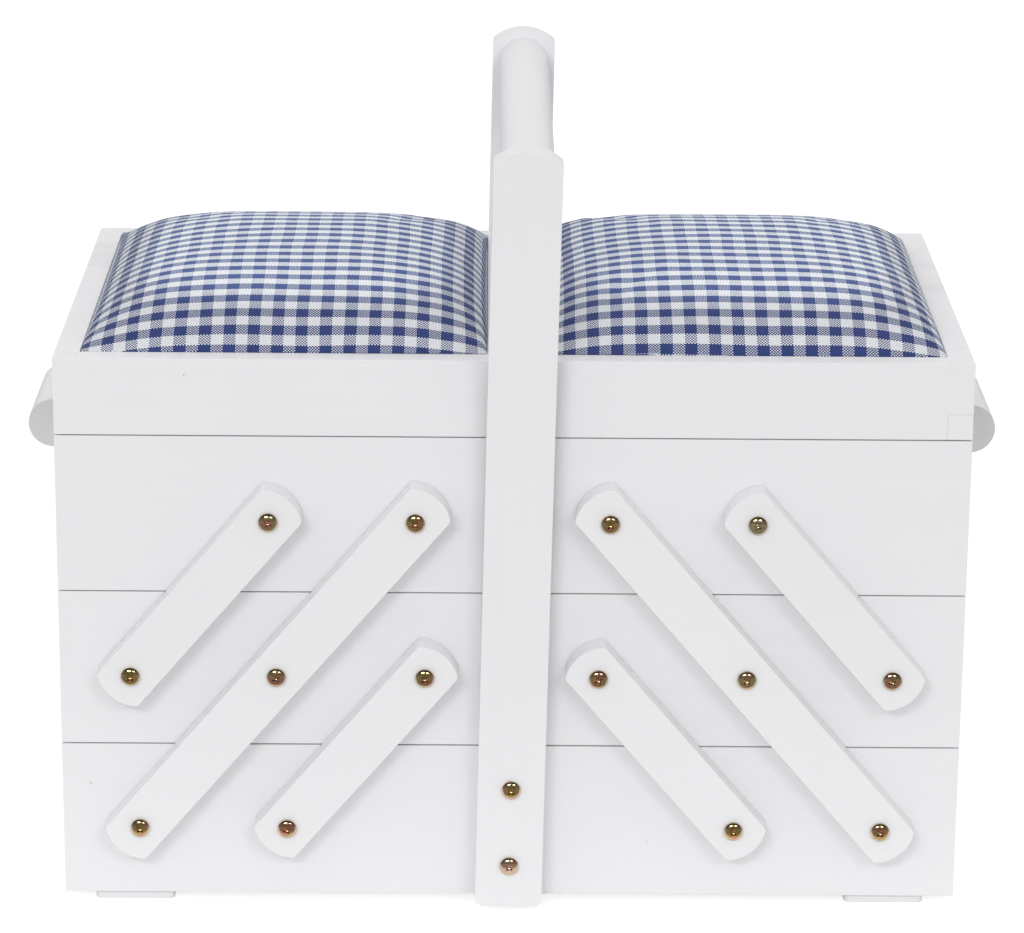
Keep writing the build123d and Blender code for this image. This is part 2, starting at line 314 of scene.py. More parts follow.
# %% The floor's paper
pale_floor = fresh_material("pale_floor")
tree = pale_floor.node_tree
across, depth, _ = place_node(tree, "ShaderNodeTexCoord", output="Object").parts()
beyond = depth.rise(paper_edge, paper_edge - paper_fade)
bounce = either(tree, beyond, matt(tree, near_bounce), matt(tree, beyond_bounce))
aside = abs(across).rise(mirrored_side, mirrored_side + paper_fade)
dusky = depth.rise(mirrored_edge, mirrored_edge - paper_fade).larger(aside)
dusky = dusky * (1 - ray(tree, "Camera"))
lit = place_node(tree, "ShaderNodeAddShader", sockets={
    0: matt(tree, floor_bounce * floor_share),
    1: glow(tree, (1 - dusky) * floor_glow),
})
finish_material(pale_floor, either(tree, seen_ray(tree), bounce, lit))
floor.data.materials.append(pale_floor)
print("paper to", paper_edge, "m, darker in reflections from", mirrored_edge, "m")

# %% [markdown]
# The room is one even colour for what it lights. A reflection sees white walls behind the box and
# dusk in front of it, where the camera stands, under a dark ceiling, so that metal gets its dark and
# middle tones.

# %% Room and lamps
room_level = 0.815
room_colour = (1.0, 0.995, 1.0)
dusk_level = 0.18
ceiling_level = 0.05
white_walls = (0.15, 0.5)
dark_ceiling = (0.6, 0.25)
lamp_reach = 3.2
lamp_height = 0.45
lamp_aim = Vector((0, 0, 0.15))

room = bpy.data.worlds.new("room")
room.use_nodes = True
tree = room.node_tree
background = tree.nodes["Background"]
background.inputs["Color"].default_value = (*room_colour, 1)
_, backward, upward = place_node(tree, "ShaderNodeTexCoord", output="Generated").parts()
behind = backward.rise(*white_walls)
front = upward.rise(*dark_ceiling) * (dusk_level - ceiling_level) + ceiling_level
reflected = behind * (1 - front) + front
level = ray(tree, "Camera").larger(ray(tree, "Transmission")).larger(ray(tree, "Glossy") * reflected)
level = level + (1 - seen_ray(tree)) * room_level
tree.links.new(level.socket, background.inputs["Strength"])
bpy.context.scene.world = room
bpy.context.scene.view_settings.view_transform = "Standard"
bpy.context.scene.cycles.denoising_prefilter = "NONE"


def soft_box(name, azimuth, elevation, width, level):
    """A lamp at a bearing right of the front, under which a white card facing it renders at level."""
    lamp = bpy.data.lights.new(name, "AREA")
    lamp.shape = "RECTANGLE"
    lamp.size = width
    lamp.size_y = lamp_height
    lamp.energy = level * math.pi**2 * lamp_reach**2
    box = bpy.data.objects.new(name, lamp)
    bpy.context.scene.collection.objects.link(box)
    around, up = math.radians(azimuth), math.radians(elevation)
    ahead = math.cos(up)
    bearing = Vector((math.sin(around) * ahead, -math.cos(around) * ahead, math.sin(up)))
    box.location = lamp_aim + bearing * lamp_reach
    box.rotation_euler = bearing.to_track_quat("Z", "Y").to_euler()


soft_box("key_left", azimuth=-16, elevation=28, width=1.0, level=0.21)
soft_box("key_right", azimuth=21, elevation=26, width=0.8, level=0.10)
print("room at", room_level, "and two soft boxes")

# %% [markdown]
# ## White paint over wood
#
# Satin paint on a close-grained wood is never one flat white. The brush leaves faint streaks along
# the board, the grain shows through as long shallow waves, the film has a fine orange peel, and
# there is a nick or a speck here and there. All of it comes from noise in the object's own
# coordinates, stretched along the grain. One function paints every piece, turned to its grain.

# %% White paint
paint_white = (0.825, 0.823, 0.836)
paint_shade = (0.807, 0.805, 0.818)
painted_shade_grey = (0.69, 0.69, 0.70)
speck_grey = (0.42, 0.42, 0.42)
brush_stretch = (26, 1, 1)
grain_stretch = (60, 1, 1)
brush_size = 0.9 * MM
wave_size = 5 * MM
cloud_size = 70 * MM
peel_size = 1.6 * MM
speck_spacing = 23 * MM
speck_patch = 40 * MM
speck_edge = (0.03, 0.016)
film_depth = 0.014 * MM


def white_paint(name, turn=(0, 0, 0), joints=None, ridges=None, shade_mask=None):
    """Satin white paint whose streaks run along local X after the turn."""
    paint = Paint(name, Roughness=0.4, Specular_IOR_Level=0.5)
    even = paint.place()
    brush = paint.noise(paint.place(turn, brush_stretch), brush_size, 3.0)
    wave = paint.noise(paint.place(turn, grain_stretch), wave_size, 2.0)
    cloud = paint.noise(even, cloud_size, 2.0)
    peel = paint.noise(even, peel_size, 1.0)
    cells = paint.node("ShaderNodeTexVoronoi", sockets={"Vector": even, "Scale": 1 / speck_spacing})
    speck = cells.rise(*speck_edge) * paint.noise(even, speck_patch, 1.0).rise(0.5, 0.62)
    shade = (cloud * 0.7 + wave * 0.3).rise(0.3, 0.75)
    colour = paint.blend(shade, paint_white, paint_shade)
    if shade_mask:
        # Painted shade: where the mask is 1 the white is blended to a darker grey.
        colour = paint.blend(shade_mask(paint), colour, painted_shade_grey)
    colour = paint.blend(speck * 0.75, colour, speck_grey)
    height = brush * 0.45 + wave * 0.9 + peel * 0.35 - speck * 1.6
    if joints:
        line = joints(paint)
        colour = paint.blend(line * 0.3, colour, speck_grey)
        height = height - line * 3.0
    if ridges:
        height = height + ridges(paint)
    paint.feed("Base Color", colour)
    paint.feed("Roughness", 0.34 + brush * 0.1 + cloud * 0.06)
    paint.bump(height, film_depth)
    return paint.material


print("white paint ready")

# %% [markdown]
# The boards' corners are finger joints, and the paint sinks a little where two fingers meet. The
# fingers are real in the frame, but flush and painted over, so they show only as hairlines: a flat
# one between two fingers and an upright one at the end of each. Noise hides most of them. The
# lowest finger of the right lid has opened, so its lines show plainly.

# %% Finger joints
hairline = (0.2 * MM, 0.06 * MM)
hidden_patch = 22 * MM
hidden_level = 0.4


def finger_lines(low, height, fingers, end, open_finger=None):
    """Faint lines where a corner joint's fingers show through the paint, plain at an open one."""
    finger = height / fingers

    def lines(paint):
        x, _, z = paint.place().parts()
        level = (z - low) / finger
        apart = abs((level + 0.5).fraction() - 0.5) * finger
        flat = apart.rise(*hairline) * abs(x).over(end)
        is_end = (0.5 - ((level + (fingers + 1) % 2) / 2).fraction()).over(0)
        upright = abs(abs(x) - end).rise(*hairline) * is_end
        show = paint.noise(paint.place(), hidden_patch, 1.0).rise(0.52, 0.68) * hidden_level
        if open_finger:
            around = abs(x - open_finger[0]).larger(abs(z - open_finger[1]))
            show = show.larger(around.rise(0.7 * finger, 0.55 * finger))
        return flat.larger(upright) * show

    return lines


print("joint lines ready")

# %% [markdown]
# Each piece is painted along its own grain: boards along the box, end boards from front to back,
# links along their slope, uprights up and down. The ends of the grips get painted shade, a darker
# grey.

# %% Paint the wood
tier_fingers = 6
lid_fingers = 3
groove_depth = 4 * MM


def named(*words):
    """The CAD nodes whose names hold all of these words."""
    return [nodes[name] for name in sorted(nodes) if all(word in name for word in words)]


def coat(objects, material):
    """Gives every slot of each object this material."""
    for piece in objects:
        if not piece.material_slots:
            piece.data.materials.append(material)
        for place in piece.material_slots:
            place.material = material


base_low, base_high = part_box("base_front_board")
middle_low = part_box("left_middle_front_board")[0]
lid_low, lid_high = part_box("left_lid_front_board")
half_width = base_high.x
tier_height = base_high.z - base_low.z
tier_pitch = middle_low.z - base_low.z
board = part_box("base_back_board")[1].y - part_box("base_bottom_panel")[1].y + groove_depth
wood_sizes = {"board": board, "tier": tier_height, "pitch": tier_pitch}
print({name: round(size / MM, 2) for name, size in wood_sizes.items()}, "mm")

swing_places = {joint["child"]: Vector(joint["pos_m"]) for joint in frame["joints"]}
link_run = swing_places["right_middle_tray"] - swing_places["right_long_link_front"]
link_slope = math.atan2(link_run.z, -link_run.x)
quarter = math.pi / 2

for side, turn in (("left", -link_slope), ("right", link_slope)):
    coat(named(side, "link"), white_paint(f"{side}_link_paint", (0, turn, 0)))
for name in ("base", "left_middle", "left_upper", "right_middle", "right_upper"):
    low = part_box(f"{name}_front_board")[0].z
    lines = finger_lines(low, tier_height, tier_fingers, half_width - board)
    boards = white_paint(f"{name}_paint", joints=lines)
    ends = white_paint(f"{name}_end_paint", (0, 0, quarter), joints=lines)
    coat([nodes[f"{name}_{part}"] for part in ("front_board", "back_board", "bottom_panel")], boards)
    coat([nodes[f"{name}_end_boards"]], ends)
lid_height = lid_high.z - lid_low.z
open_finger = (half_width - board / 2, lid_low.z + lid_height / (2 * lid_fingers))
lid_lines = finger_lines(lid_low.z, lid_height, lid_fingers, half_width - board, open_finger)
coat(named("_lid_", "board"), white_paint("lid_paint", joints=lid_lines))
coat(named("_lid_end_boards"), white_paint("lid_end_paint", (0, 0, quarter), joints=lid_lines))
coat(named("_lid_panel"), white_paint("lid_panel_paint"))
coat(named("upright"), white_paint("upright_paint", (0, quarter, 0)))
grip_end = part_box("right_grip")[1].y
grip_end_shade_edge = (grip_end - 0.5 * MM, grip_end - 0.2 * MM)


def grip_end_shade(paint):
    """1 on the grips' front and back ends, which get painted shade."""
    return abs(paint.place().parts()[1]).rise(*grip_end_shade_edge)


coat(named("grip"), white_paint("grip_paint", (0, 0, quarter), shade_mask=grip_end_shade))
coat(named("base_feet"), white_paint("foot_paint"))
print("painted", sum(1 for piece in nodes.values() if piece.active_material), "nodes")

# %% [markdown]
# ## The bar
#
# The round bar is turned on a lathe and brushed by hand, so its paint film is thicker and has runs
# and ridges on one side. It is the same paint with one more layer of height.

# %% Bar paint
bar_low, bar_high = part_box("handle_bar")
bar_middle = (bar_low.x + bar_high.x) / 2
ridges_begin = (bar_low.y + 5 * MM, bar_low.y + 25 * MM)
ridges_end = (bar_low.y + 95 * MM, bar_low.y + 60 * MM)
ridges_side = (bar_middle + 4 * MM, bar_high.x - 2 * MM)
ridge_turn = (0, 0, 0.5)
ridge_stretch = (6, 1, 1)
ridge_size = 2.2 * MM
ridge_height = 14.0


def bar_ridges(paint):
    """Ridges of thick paint low on the bar's right side, towards the front."""
    x, y, _ = paint.place().parts()
    band = y.rise(*ridges_begin) * y.rise(*ridges_end)
    wrinkle = paint.noise(paint.place(ridge_turn, ridge_stretch), ridge_size, 2.0)
    return band * x.rise(*ridges_side) * wrinkle * ridge_height


coat([nodes["handle_bar"]], white_paint("bar_paint", (0, 0, quarter), ridges=bar_ridges))
print("bar painted, ridges over", round((ridges_end[0] - ridges_begin[0]) / MM), "mm")

# %% [markdown]
# ## Yellow zinc and brass
#
# The screws are steel with a yellow passivated zinc plate, which shimmers from straw to olive and
# rose. The hinges are thin pressed brass. Both are metals whose colour drifts with noise; the plate
# changes from head to head.

# %% Metals
straw = (0.56, 0.34, 0.14)
olive = (0.40, 0.33, 0.12)
rose = (0.54, 0.25, 0.16)
pale_and_reflected_zinc = (0.80, 0.72, 0.60)
bright_brass = (0.70, 0.50, 0.22)
dull_brass = (0.52, 0.36, 0.16)
drift_size = 3.2 * MM
patch_size = 5 * MM
scratch_size = 0.25 * MM
dimple_size = 0.9 * MM
dimple_depth = 0.03 * MM
tarnish_size = 9 * MM
brushed_size = 0.35 * MM
brushed_depth = 0.008 * MM


def zinc():
    """Passivated plate; an attribute makes some heads paler at random and paints a pale ring of
    reflection on the shoulders.
    """
    paint = Paint("yellow_zinc_plate", Metallic=1.0)
    place = paint.place()
    drift = paint.noise(place, drift_size, 1.0)
    patch = paint.noise(paint.place(stretch=(0.8, 1, 1)), patch_size, 2.0)
    pale = paint.node("ShaderNodeAttribute", {"attribute_name": "pale"}, output="Fac")
    colour = paint.blend(drift.rise(0.4, 0.58), straw, olive)
    colour = paint.blend(patch.rise(0.5, 0.62), colour, rose)
    # The attribute's ring on the shoulder is a painted reflection of the white floor; its random part
    # makes whole heads paler.
    colour = paint.blend(pale, colour, pale_and_reflected_zinc)
    scratch = paint.noise(paint.place(stretch=(8, 1, 1)), scratch_size, 2.0)
    dimple = paint.noise(place, dimple_size, 1.0)
    paint.feed("Base Color", colour)
    paint.feed("Roughness", 0.11 + scratch * 0.12)
    paint.bump(dimple + scratch * 0.25, dimple_depth, 0.6)
    return paint.material


def brass():
    """Thin sheet, brushed from front to back and a little tarnished."""
    paint = Paint("hinge_brass_plate", Metallic=1.0)
    brushed = paint.noise(paint.place((0, 0, quarter), (14, 1, 1)), brushed_size, 3.0)
    tarnish = paint.noise(paint.place(), tarnish_size, 2.0)
    paint.feed("Base Color", paint.blend(tarnish.rise(0.4, 0.7), bright_brass, dull_brass))
    paint.feed("Roughness", 0.28 + brushed * 0.2)
    paint.bump(brushed, brushed_depth)
    return paint.material


zinc_plate = zinc()
coat(named("hinges"), brass())
print("brass on", len(named("hinges")), "nodes, zinc plate ready")

# %% [markdown]
# ## The screws
#
# Each is a pan head with a cross recess, driven by hand, so no two stop at the same angle. A spun
# profile would also give the head, but drawing it up shows each ring. It starts as a small disc at
# the tip, which is extruded up the shank, out to the seat and in again, ring by ring, along a
# rounded shoulder and then a flat dome. One screw is modelled and copied to every seat.

# %% The screw's head
head_radius = 3.8 * MM
head_height = 2.4 * MM
dome_reach = 3.1 * MM
dome_tilt = math.radians(25)
crease_tilt = math.radians(34)
shoulder_tilt = math.radians(54)
shoulder_rings = 5
dome_rings = 5
seat_radius = 0.97 * head_radius
seat_bevel = 0.12 * MM
shank_radius = 1.75 * MM
shank_length = 18.5 * MM
tip_radius = 0.25 * shank_radius
tip_length = 2.4 * MM


def only(piece):
    """Leaves one object selected and active."""
    bpy.ops.object.select_all(action="DESELECT")
    piece.select_set(True)
    bpy.context.view_layer.objects.active = piece


def draw_up(rings):
    """Extrudes the selected face through rings of (height, radius), from radius to radius."""
    for (low, wide), (high, narrow) in zip(rings, rings[1:]):
        bpy.ops.mesh.extrude_region_move(TRANSFORM_OT_translate={"value": (0, 0, high - low)})
        scale = narrow / wide
        bpy.ops.transform.resize(value=(scale, scale, 1), center_override=(0, 0, high))


def make_head(length):
    """A pan-head screw on the Z axis, its seat at Z 0 and its shank below."""
    bpy.ops.object.select_all(action="DESELECT")
    bpy.ops.mesh.primitive_circle_add(vertices=40, radius=tip_radius, fill_type="NGON")
    screw = bpy.context.object
    bpy.ops.object.mode_set(mode="EDIT")
    bpy.ops.mesh.select_all(action="SELECT")
    bpy.ops.transform.translate(value=(0, 0, -length))
    dome_radius = dome_reach / math.sin(dome_tilt)
    dome_foot = head_height - dome_radius * (1 - math.cos(dome_tilt))
    shoulder = (head_radius - dome_reach) / (math.sin(shoulder_tilt) - math.sin(crease_tilt))
    rings = [(-length, tip_radius), (-length + tip_length, shank_radius), (0, shank_radius)]
    rings += [(0, seat_radius), (seat_bevel, head_radius)]
    for step in range(shoulder_rings + 1):
        tilt = shoulder_tilt + (crease_tilt - shoulder_tilt) * step / shoulder_rings
        drop = shoulder * (math.cos(crease_tilt) - math.cos(tilt))
        reach = dome_reach + shoulder * (math.sin(tilt) - math.sin(crease_tilt))
        rings.append((dome_foot - drop, reach))
    for step in range(1, dome_rings):
        tilt = dome_tilt * (1 - step / dome_rings)
        drop = dome_radius * (1 - math.cos(tilt))
        rings.append((head_height - drop, dome_radius * math.sin(tilt)))
    draw_up(rings)
    bpy.ops.mesh.select_all(action="SELECT")
    bpy.ops.mesh.normals_make_consistent(inside=False)
    bpy.ops.object.mode_set(mode="OBJECT")
    return screw


pattern_screw = make_head(shank_length)
print("screw drawn up:", len(pattern_screw.data.polygons), "faces")

# %% [markdown]
# The driver's cross is pressed into the real head. Here a solid of its shape is taken away by a
# boolean: two crossed bars whose ends slope in towards the bottom, and a round well in the middle
# with a conical floor. A narrow bevel then breaks every sharp edge, as plating does.

# %% The screw's recess
recess_reach = 2.35 * MM
recess_width = 0.85 * MM
recess_depth = 1.0 * MM
slope_in = 0.5
narrow_in = 0.6
well_reach = 0.98 * MM
well_mouth = 1.1 * well_reach
well_point = 0.04 * well_reach
well_depth = 1.05 * MM
cone_slope = math.radians(22.7)
broken_edge = 0.06 * MM


def make_arms(turn):
    """A bar across the head, turned by nothing or a quarter, that tapers to its bottom."""
    bpy.ops.object.select_all(action="DESELECT")
    bpy.ops.mesh.primitive_cube_add(size=1, location=(0, 0, head_height), rotation=(0, 0, turn))
    bar = bpy.context.object
    bar.scale = (2 * recess_reach, recess_width, 2 * recess_depth)
    bpy.ops.object.transform_apply(location=True, rotation=True, scale=True)
    bpy.ops.object.mode_set(mode="EDIT")
    bpy.ops.mesh.select_all(action="DESELECT")
    mesh = bmesh.from_edit_mesh(bar.data)
    for face in mesh.faces:
        face.select = face.normal.z < -0.5
    bmesh.update_edit_mesh(bar.data)
    taper = (narrow_in, slope_in, 1) if turn else (slope_in, narrow_in, 1)
    bpy.ops.transform.resize(value=taper, center_override=(0, 0, head_height))
    bpy.ops.object.mode_set(mode="OBJECT")
    return bar


def make_well():
    """The round well in the middle of the cross, from the point of its floor to above the head."""
    well_floor = head_height - well_depth
    point = well_floor - well_reach * math.tan(cone_slope)
    bpy.ops.object.select_all(action="DESELECT")
    bpy.ops.mesh.primitive_circle_add(vertices=32, radius=well_point, fill_type="NGON")
    well = bpy.context.object
    bpy.ops.object.mode_set(mode="EDIT")
    bpy.ops.transform.translate(value=(0, 0, point))
    draw_up([(point, well_point), (well_floor, well_reach), (head_height + well_depth, well_mouth)])
    bpy.ops.mesh.select_all(action="SELECT")
    bpy.ops.mesh.normals_make_consistent(inside=False)
    bpy.ops.object.mode_set(mode="OBJECT")
    return well


def combine(piece, tool, operation):
    """Joins the tool to the piece, or cuts it away, and deletes the tool."""
    only(piece)
    change = piece.modifiers.new("combine", "BOOLEAN")
    change.operation = operation
    change.object = tool
    bpy.ops.object.modifier_apply(modifier="combine")
    bpy.data.objects.remove(tool)


# %% Cut the recess
cross = make_arms(0)
for bar in (make_arms(quarter), make_well()):
    combine(cross, bar, "UNION")
combine(pattern_screw, cross, "DIFFERENCE")
soften = pattern_screw.modifiers.new("soften", "BEVEL")
soften.width = broken_edge
soften.segments = 2
soften.limit_method = "ANGLE"
soften.angle_limit = math.radians(30)
bpy.ops.object.modifier_apply(modifier="soften")
bpy.ops.object.shade_smooth_by_angle(angle=math.radians(35))
print("one screw:", len(pattern_screw.data.polygons), "faces")

# %% [markdown]
# The frame holds the screws of a tier as one node. Their seats are found by gathering the node's
# points into clumps that lie within a head's width of each other, and a clump's outermost points
# show which way its head looks. A pale ring on each head's shoulder is a painted reflection of the
# white floor, and some heads are paler at random.

# %% All the screws
dice = random.Random(7)
clump_reach = 2.2 * head_radius
head_from = 0.9 * head_radius
tip_below = -3 * MM
most_spin = math.radians(22)
reflection_ring_from = 2.9 * MM
reflection_ring_over = 0.4 * MM
reflection_ring_strength = 0.45
most_pale = 0.4


def screw_seats(node, axis):
    """(seat centre, outward direction, length) of each screw in a node, driven along an axis."""
    points = np.array([v.co for v in nodes[node].data.vertices])
    flat = [i for i in range(3) if i != axis]
    clumps = []
    for point in points:
        side = point[axis] > 0
        for clump in clumps:
            same_side = clump["side"] == side or axis == 0
            if same_side and np.hypot(*(point[flat] - clump["start"][flat])) < clump_reach:
                clump["points"].append(point)
                break
        else:
            clumps.append({"start": point, "side": side, "points": [point]})
    seats = []
    for clump in clumps:
        own = np.array(clump["points"])
        centre = (own.max(0) + own.min(0)) / 2
        width = np.hypot(*(own[:, flat] - centre[flat]).T)
        head = own[width > head_from]
        out = 1 if head[:, axis].mean() > centre[axis] else -1
        top = own[:, axis].max() if out > 0 else own[:, axis].min()
        seat = Vector(centre)
        seat[axis] = top - out * head_height
        length = own[:, axis].max() - own[:, axis].min() - head_height
        seats.append((seat, out, length))
    return seats


def drive_screws(node, axis=1):
    """Copies of the pattern screw on a node's seats, each turned its own way, as one piece."""
    copies = []
    for seat, out, length in screw_seats(node, axis):
        copy = pattern_screw.copy()
        copy.data = pattern_screw.data.copy()
        bpy.context.scene.collection.objects.link(copy)
        for vertex in copy.data.vertices:
            if vertex.co.z < tip_below:
                vertex.co.z += shank_length - length
        reach = np.array([math.hypot(v.co.x, v.co.y) for v in copy.data.vertices])
        # A pale ring on the shoulder: a painted reflection of the white floor.
        reflection_ring = np.clip((reach - reflection_ring_from) / reflection_ring_over, 0, 1) * reflection_ring_strength
        direction = Vector([out if i == axis else 0 for i in range(3)])
        turn = direction.to_track_quat("Z", "Y").to_matrix().to_4x4()
        spin = Matrix.Rotation(quarter / 2 + dice.uniform(-most_spin, most_spin), 4, "Z")
        copy.data.transform(Matrix.Translation(seat) @ turn @ spin)
        pale = copy.data.attributes.new("pale", "FLOAT", "POINT")
        pale.data.foreach_set("value", np.maximum(reflection_ring, dice.uniform(0, 1) ** 3 * most_pale))
        copies.append(copy)
    only(copies[0])
    for copy in copies:
        copy.select_set(True)
    bpy.ops.object.join()
    screws = bpy.context.object
    screws.name = f"{node}_plated"
    screws.data.materials.clear()
    screws.data.materials.append(zinc_plate)
    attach(screws, body_of(nodes[node])[0])
    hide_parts(node)
    return len(copies)


screw_count = 0
for name in sorted(nodes):
    if name.endswith("screws"):
        screw_count += drive_screws(name, 0 if "grip" in name else 1)
bpy.data.objects.remove(pattern_screw)
print(screw_count, "screws driven")

# %% [markdown]
# ## The cushions
#
# A block of foam lies in each lid's frame under cotton gingham, which is pulled tight and glued down
# inside the frame. The foam swells the cloth into a flat-topped dome, steeper at the sides than at
# the front. Sculpting would lose the even edges, so a formula gives the foam's own shape, a little
# lower than the cloth ends up.

# %% The foam's shape
frame_clearance = 0.15 * MM
lid_top = lid_high.z
cushion_depth_half = -lid_low.y - board - frame_clearance


def crown(share, squareness, softness):
    """Height across a cushion, 1 in the middle and 0 at an edge, by the share of the way out."""
    return (1 - np.abs(share) ** squareness) ** softness


cushion_shapes = {
    "left": {
        "rise": 20.6 * MM,
        "outer": (4.05, 0.74),
        "inner": (4.0, 0.49),
        "bulge": (0.6 * MM, -0.6 * MM),
        "tuck": 0.2 * MM,
    },
    "right": {
        "rise": 20.7 * MM,
        "outer": (3.9, 0.56),
        "inner": (5.0, 0.53),
        "bulge": (0.6 * MM, -0.4 * MM),
        "tuck": 0.1 * MM,
    },
}
front_crown = (3.8, 0.86)
back_crown = (4.3, 0.76)


def foam_height(side, across, along):
    """Height of the foam above the frame; across runs from the handle outwards, along to the back."""
    shape = cushion_shapes[side]
    over = np.where(across > 0, crown(across, *shape["outer"]), crown(across, *shape["inner"]))
    length = np.where(along > 0, crown(along, *back_crown), crown(along, *front_crown))
    return shape["rise"] * over * length


def opening(side):
    """The inner and the outer edge of a lid's opening, as distances from the handle."""
    low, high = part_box(f"{side}_lid_cushion")
    ends = sorted((abs(low.x), abs(high.x)))
    return ends[0] - frame_clearance, ends[1] + frame_clearance


for side in cushion_shapes:
    print(side, "opening from", *(round(edge / MM, 1) for edge in opening(side)), "mm")

# %% [markdown]
# The cloth starts as a flat grid over the opening, crowded towards its edges, where it curves most.
# Each point is lifted onto the foam. The rim is then extruded in under the bulge and down into the
# lid, as the real cloth is tucked and glued, and filled underneath, so that the piece is closed.

# %% Lay the cloth
cloth_grid = 2.6 * MM
edge_crowding = 0.45
back_bulge = 1.2 * MM
rest_gap = 0.22 * MM
tuck_depth = 1.2 * MM
recess_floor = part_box("left_lid_panel")[1].z
glue_height = 0.3 * MM


def crowd(share):
    """Moves points between -1 and 1 towards the ends."""
    return edge_crowding * np.sin(share * quarter) + (1 - edge_crowding) * share


def lay_cloth(side):
    """A grid over the frame's opening, raised to the foam. It bulges over the front and back boards
    and is tucked in a little short of the outer end."""
    sign = -1 if side == "left" else 1
    inner, outer = opening(side)
    outer -= cushion_shapes[side]["tuck"]
    columns = 2 * round((outer - inner) / cloth_grid / 2)
    rows = 2 * round(cushion_depth_half / cloth_grid)
    bpy.ops.object.select_all(action="DESELECT")
    bpy.ops.mesh.primitive_grid_add(x_subdivisions=columns, y_subdivisions=rows, size=2)
    cover = bpy.context.object
    points = np.array([v.co for v in cover.data.vertices])
    across, along = sign * crowd(points[:, 0]), crowd(points[:, 1])
    points[:, 0] = sign * ((inner + outer) / 2 + across * (outer - inner) / 2)
    middle, lean = cushion_shapes[side]["bulge"]
    bulge = np.where(along < 0, middle + lean * across, back_bulge)
    points[:, 1] = along * (cushion_depth_half + bulge)
    foam = foam_height(side, np.clip(across, -1, 1), np.clip(along, -1, 1))
    points[:, 2] = lid_top + rest_gap + foam
    cover.data.vertices.foreach_set("co", points.ravel())
    cover.data.update()
    return cover, columns, rows


def close_below(cover, side):
    """Tucks the rim in under the bulge and down into the recess, and closes the underside."""
    inner, outer = opening(side)
    only(cover)
    bpy.ops.object.mode_set(mode="EDIT")
    bpy.ops.mesh.select_all(action="DESELECT")
    bpy.ops.mesh.select_mode(type="EDGE")
    bpy.ops.mesh.select_non_manifold()
    for level in (lid_top + 0.6 * rest_gap, lid_top - tuck_depth, recess_floor + glue_height):
        bpy.ops.mesh.extrude_region_move()
        mesh = bmesh.from_edit_mesh(cover.data)
        for vertex in mesh.verts:
            if vertex.select:
                reach = min(max(abs(vertex.co.x), inner), outer)
                depth = min(max(vertex.co.y, -cushion_depth_half), cushion_depth_half)
                vertex.co = (math.copysign(reach, vertex.co.x), depth, level)
        bmesh.update_edit_mesh(cover.data)
    bpy.ops.mesh.fill()
    bpy.ops.mesh.select_all(action="SELECT")
    bpy.ops.mesh.normals_make_consistent(inside=False)
    bpy.ops.object.mode_set(mode="OBJECT")


print("cloth grid", round(cloth_grid / MM, 2), "mm, tucked", round(tuck_depth / MM, 2), "mm down")

# %% [markdown]
# Foam presses the cloth outwards evenly, which is what the pressure of a cloth simulation does. It
# runs for a few steps with the rim held and no gravity, and rounds the formula's dome. The yarns
# are measured along the finished cloth, so that the checks keep their size where it is steep.

# %% Measure and swell the cloth
swell_steps = 20
swell_cap = 2.0 * MM
cloth_settings = {
    "quality": 6,
    "mass": 0.2,
    "tension_stiffness": 20,
    "compression_stiffness": 20,
    "shear_stiffness": 8,
    "bending_stiffness": 0.4,
    "vertex_group_mass": "held",
    "use_pressure": True,
    "uniform_pressure_force": 4,
}


def measure_cloth(cover, columns, rows):
    """Where each point lies in the flat cloth: its distance along the surface from the middle."""
    count = (columns + 1) * (rows + 1)
    points = np.array([v.co for v in cover.data.vertices])[:count].reshape(rows + 1, columns + 1, 3)

    def run(values, axis):
        plane = [0, 2] if axis == 1 else [1, 2]
        steps = np.linalg.norm(np.diff(values, axis=axis)[..., plane], axis=-1)
        start = np.zeros_like(np.take(steps, [0], axis))
        total = np.concatenate([start, np.cumsum(steps, axis)], axis)
        middle = total.shape[axis] // 2
        return total - np.take(total, [middle], axis)

    return np.stack([run(points, 1), run(points, 0)], -1).reshape(count, 2)


def swell(cover, held, cap):
    """Blows the cloth up against its held rim, and lets no point move further than the cap."""
    scene = bpy.context.scene
    start = np.array([v.co for v in cover.data.vertices])
    group = cover.vertex_groups.new(name="held")
    group.add([int(i) for i in held], 1.0, "REPLACE")
    cloth = cover.modifiers.new("cloth", "CLOTH")
    for key, value in cloth_settings.items():
        setattr(cloth.settings, key, value)
    cloth.settings.effector_weights.gravity = 0
    for step in range(1, swell_steps + 1):
        scene.frame_set(step)
    evaluated = cover.evaluated_get(bpy.context.evaluated_depsgraph_get())
    moved = np.array([v.co for v in evaluated.data.vertices])
    cover.modifiers.remove(cloth)
    scene.frame_set(1)
    shift = moved - start
    length = np.linalg.norm(shift, axis=1, keepdims=True)
    kept = shift * np.minimum(1, cap / np.maximum(length, 1e-9))
    cover.data.vertices.foreach_set("co", (start + kept).ravel())
    cover.data.update()
    return float(length.max())


print("cloth swells for", swell_steps, "steps, by", round(swell_cap / MM, 2), "mm at most")

# %% [markdown]
# ## Gingham
#
# Gingham is a plain weave whose warp and weft change between blue and white every few threads. An
# image would fix its sharpness, so the weave is worked out thread by thread from the cloth's own
# map: which thread lies on top, how far the point is from its middle, and whether it is blue. High
# on the cushion the yarns are painted lighter, a painted highlight for the light on its top, and the
# warp shows less there; lower down they stay darker. The gaps between yarns get painted shade.

# %% Gingham
check_across = 4.77 * MM
check_along = 4.85 * MM
threads = 8
yarn_blue = (0.016, 0.042, 0.170)
yarn_navy = (0.026, 0.040, 0.190)
